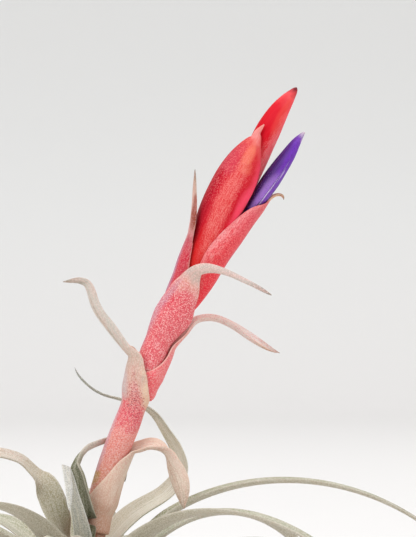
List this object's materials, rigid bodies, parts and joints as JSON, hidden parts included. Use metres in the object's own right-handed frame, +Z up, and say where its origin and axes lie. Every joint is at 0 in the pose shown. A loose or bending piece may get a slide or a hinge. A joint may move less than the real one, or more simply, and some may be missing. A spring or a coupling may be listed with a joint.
{
  "type": "air plant in flower",
  "caption": "Tillandsia harrisii in flower: silvery recurved leaves round a short core, and a leaning scape with pink bracts, red floral bracts and a violet bud.",
  "frame": {"origin": "middle of the flat foot of the core, on the surface that the plant lies on", "axes": "+Z up from that surface; +X to the side that the flowering stem leans to; +Y away from the front of the flower"},
  "size_m": [0.1795, 0.1712, 0.1555],
  "materials": {
    "silver_leaf": "matte",
    "scape_bract": "matte",
    "floral_bract": "satin",
    "petal": "satin",
    "stem": "matte"
  },
  "bodies": {
    "root": {"stem": "stem", "peach_scape_bract": "scape_bract", "left_scape_bract": "scape_bract", "behind_scape_bract": "scape_bract", "front_scape_bract": "scape_bract", "upper_scape_bract": "scape_bract", "right_floral_bract": "floral_bract", "front_floral_bract": "floral_bract", "top_floral_bract": "floral_bract", "flower_bud": "petal", "leaf_01": "silver_leaf", "leaf_02": "silver_leaf", "leaf_03": "silver_leaf", "leaf_04": "silver_leaf", "leaf_05": "silver_leaf", "leaf_06": "silver_leaf", "leaf_07": "silver_leaf", "leaf_08": "silver_leaf", "leaf_09": "silver_leaf", "leaf_10": "silver_leaf", "leaf_11": "silver_leaf", "leaf_12": "silver_leaf", "leaf_13": "silver_leaf", "leaf_14": "silver_leaf", "leaf_15": "silver_leaf", "leaf_16": "silver_leaf", "leaf_17": "silver_leaf", "leaf_18": "silver_leaf", "leaf_19": "silver_leaf", "leaf_20": "silver_leaf", "leaf_21": "silver_leaf", "leaf_22": "silver_leaf", "rounded_leaf": "silver_leaf", "far_left_leaf": "silver_leaf", "long_leaf": "silver_leaf", "curled_leaf": "silver_leaf"}
  },
  "joints": []
}
